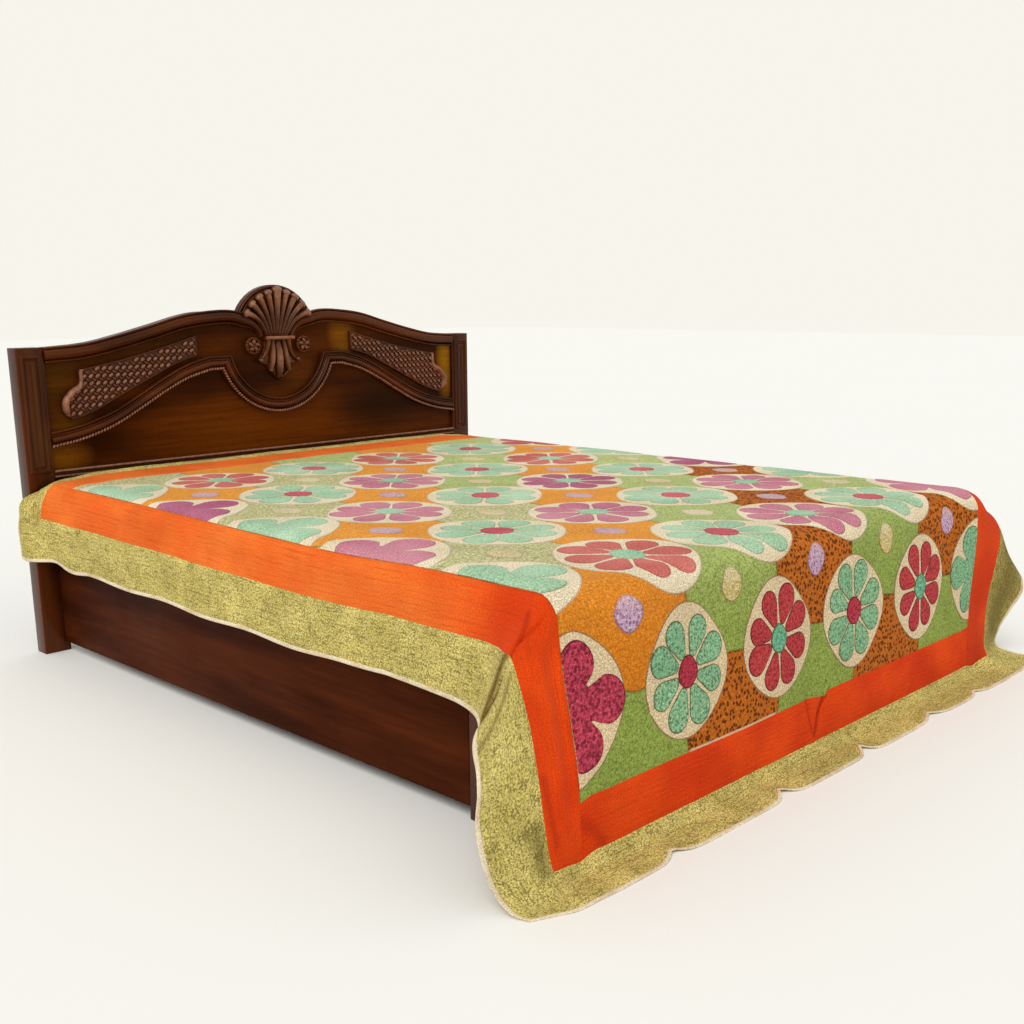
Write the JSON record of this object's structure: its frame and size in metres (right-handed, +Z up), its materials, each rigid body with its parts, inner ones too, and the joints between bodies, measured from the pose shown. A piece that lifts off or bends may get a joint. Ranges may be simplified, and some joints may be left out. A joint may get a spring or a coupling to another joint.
{
  "type": "applique patchwork bedspread draped on its bed with headboard and mattress",
  "caption": "Patchwork bedspread with plain borders and bound hem, draped over a mattress on a carved wooden bed: tucked at the head, hanging at the sides, meeting the floor at the foot.",
  "frame": {"origin": "on the floor under the middle of the object's box", "axes": "+X across the bed, +Y from the foot towards the headboard, +Z up"},
  "size_m": [2.2726, 2.3286, 1.119],
  "materials": {
    "patchwork": "matte cotton patchwork with applique flowers",
    "orange_cloth": "matte cotton, quilted",
    "olive_cloth": "matte slubbed cotton, rows of running stitch",
    "binding_cloth": "matte cream cotton",
    "wood": "dark polished mahogany",
    "carved_wood": "dark polished mahogany, carved",
    "ticking": "plain ticking"
  },
  "bodies": {
    "root": {"patchwork_field": "patchwork", "orange_border_left": "orange_cloth", "orange_border_right": "orange_cloth", "orange_border_head": "orange_cloth", "orange_border_foot": "orange_cloth", "olive_border_left": "olive_cloth", "olive_border_right": "olive_cloth", "olive_border_head": "olive_cloth", "olive_border_foot": "olive_cloth", "binding_left": "binding_cloth", "binding_right": "binding_cloth", "binding_head": "binding_cloth", "binding_foot": "binding_cloth", "head_post_left": "wood", "head_post_right": "wood", "headboard_panel": "wood", "top_rail_left": "wood", "top_rail_right": "wood", "shell_crest": "wood", "arch_moulding": "wood", "side_rail_left": "wood", "side_rail_right": "wood", "foot_post_left": "wood", "foot_post_right": "wood", "foot_rail": "wood", "platform": "wood", "post_frame_left": "carved_wood", "post_frame_right": "carved_wood", "lattice_panel_left": "carved_wood", "lattice_panel_right": "carved_wood", "shell_fan": "carved_wood", "shell_band": "carved_wood", "shell_pendant": "carved_wood", "rosette_left": "carved_wood", "rosette_right": "carved_wood", "rope_bead": "carved_wood", "bottom_moulding": "carved_wood", "mattress": "ticking"}
  },
  "joints": []
}
